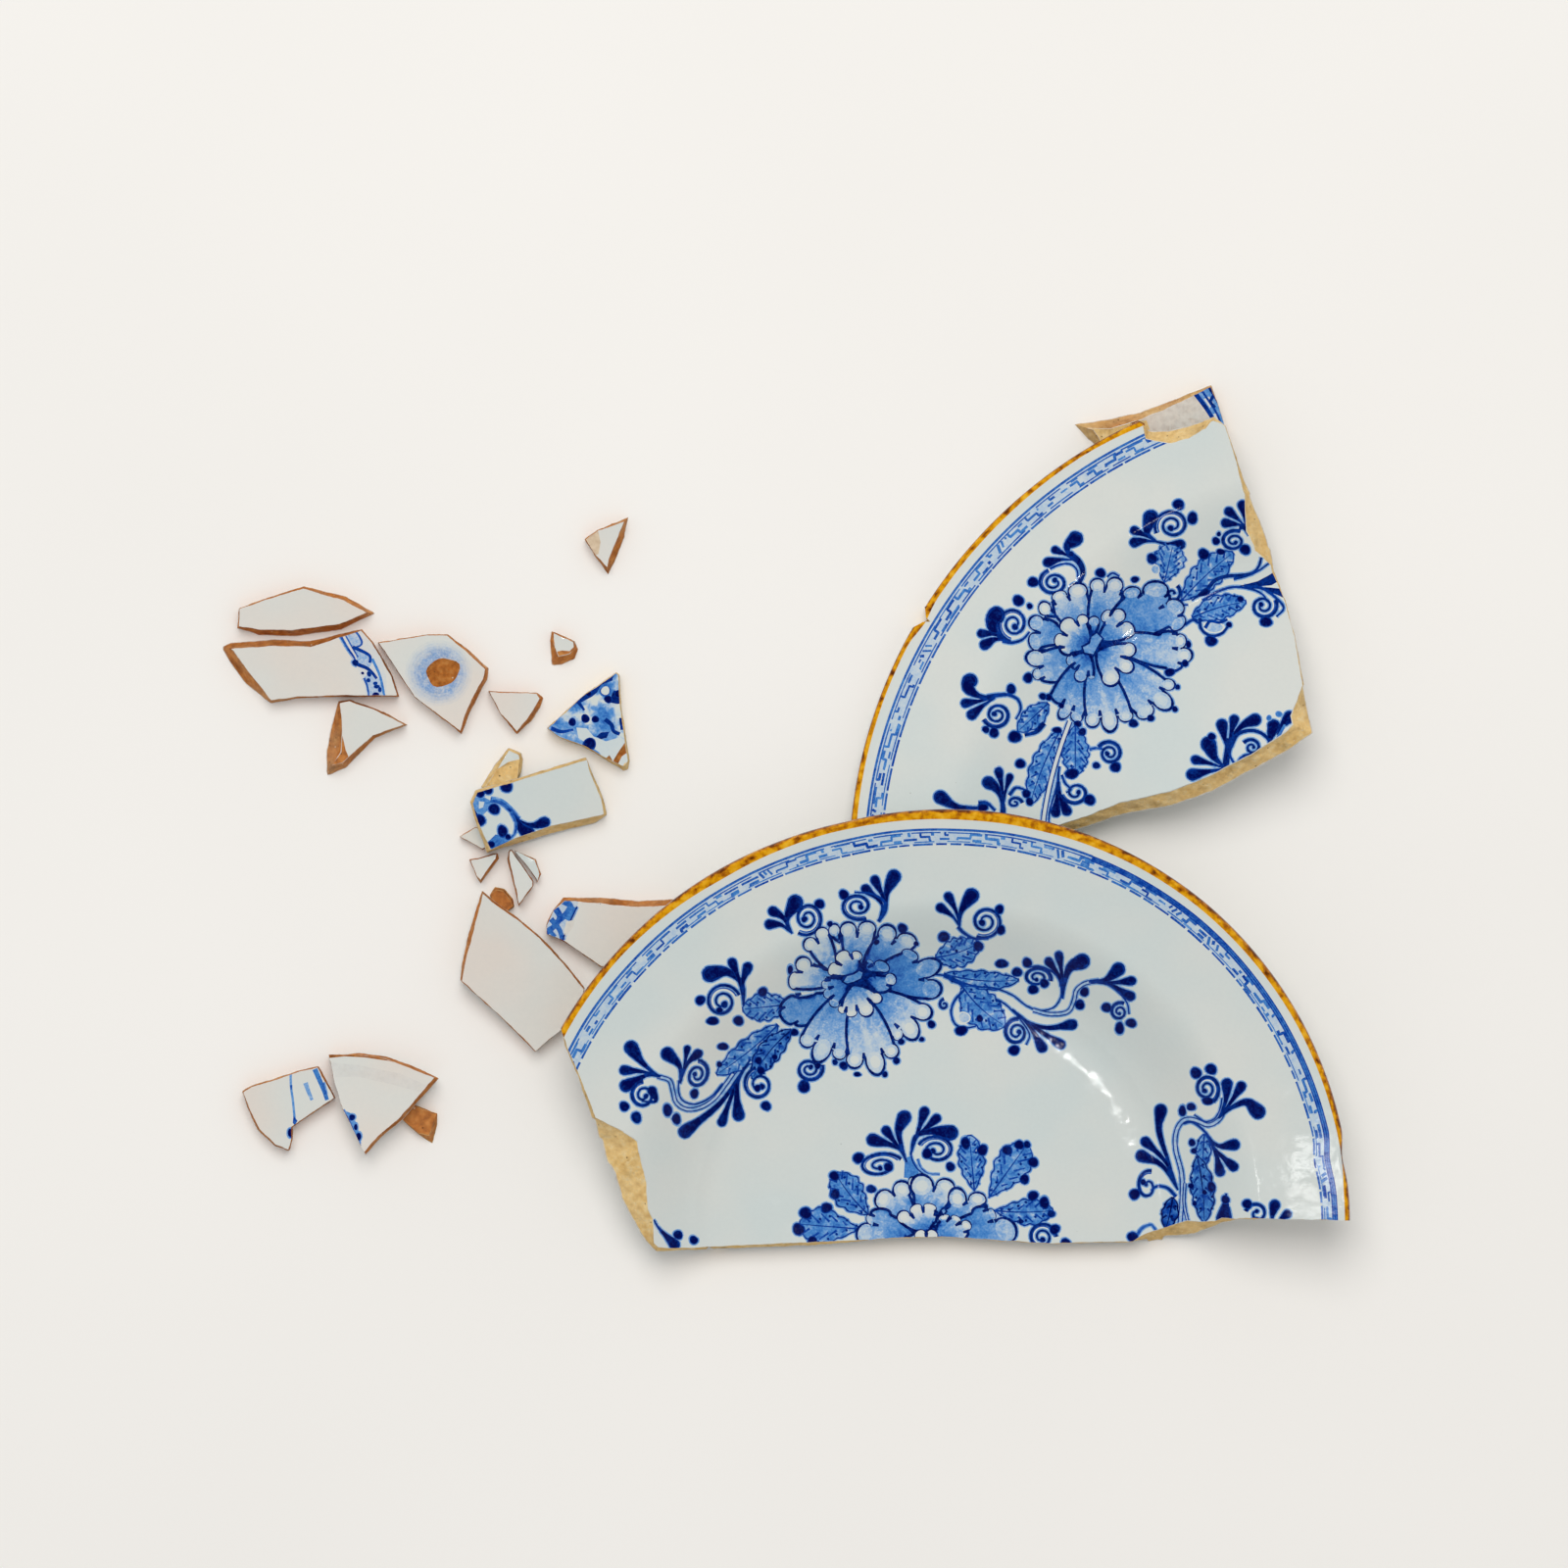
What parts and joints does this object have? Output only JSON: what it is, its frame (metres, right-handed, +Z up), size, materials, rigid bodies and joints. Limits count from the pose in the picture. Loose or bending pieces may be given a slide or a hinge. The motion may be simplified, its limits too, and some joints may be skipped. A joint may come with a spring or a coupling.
{
  "type": "broken plate",
  "caption": "Broken blue-and-white earthenware dinner plate: large rim sherds with painted flowers and a scatter of small flat sherds and chips, lying face up on a table.",
  "frame": {"origin": "centre of the box round all the pieces, on the table", "axes": "+X along the scatter's longest side, from the small sherds towards the upper rim sherd; +Y across the table, from the lower rim sherd's rim side towards the upper rim sherd; +Z up"},
  "size_m": [0.328, 0.252, 0.0242],
  "materials": {
    "painted_glaze": "glossy bluish-white tin glaze painted in cobalt blue, crazed and dirty at the breaks",
    "plain_glaze": "glossy warm-white tin glaze without painting",
    "blue_glaze": "glossy tin glaze under a mottled wash of cobalt blue",
    "bare_clay": "matte, grainy, orange-brown fired clay"
  },
  "bodies": {
    "root": {"lower_half_sherd": "painted_glaze", "upper_rim_sherd": "painted_glaze", "dirty_band_sherd": "painted_glaze", "lens_sherd": "plain_glaze", "scroll_band_sherd": "painted_glaze", "spalled_triangle_sherd": "plain_glaze", "ring_mark_sherd": "painted_glaze", "fan_sherd": "plain_glaze", "stained_triangle_sherd": "plain_glaze", "chip_sherd": "plain_glaze", "blue_painted_sherd": "blue_glaze", "rough_top_chip": "plain_glaze", "tucked_corner_chip": "plain_glaze", "leaf_scroll_sherd": "painted_glaze", "small_triangle_sherd": "plain_glaze", "tall_triangle_sherd": "plain_glaze", "grey_corner_chip": "plain_glaze", "clay_chip_under_tip": "bare_clay", "plain_pentagon_sherd": "plain_glaze", "blue_end_sherd": "painted_glaze", "ridged_sherd": "painted_glaze", "clay_chip_by_rim": "bare_clay", "rim_triangle_sherd": "painted_glaze"}
  },
  "joints": []
}
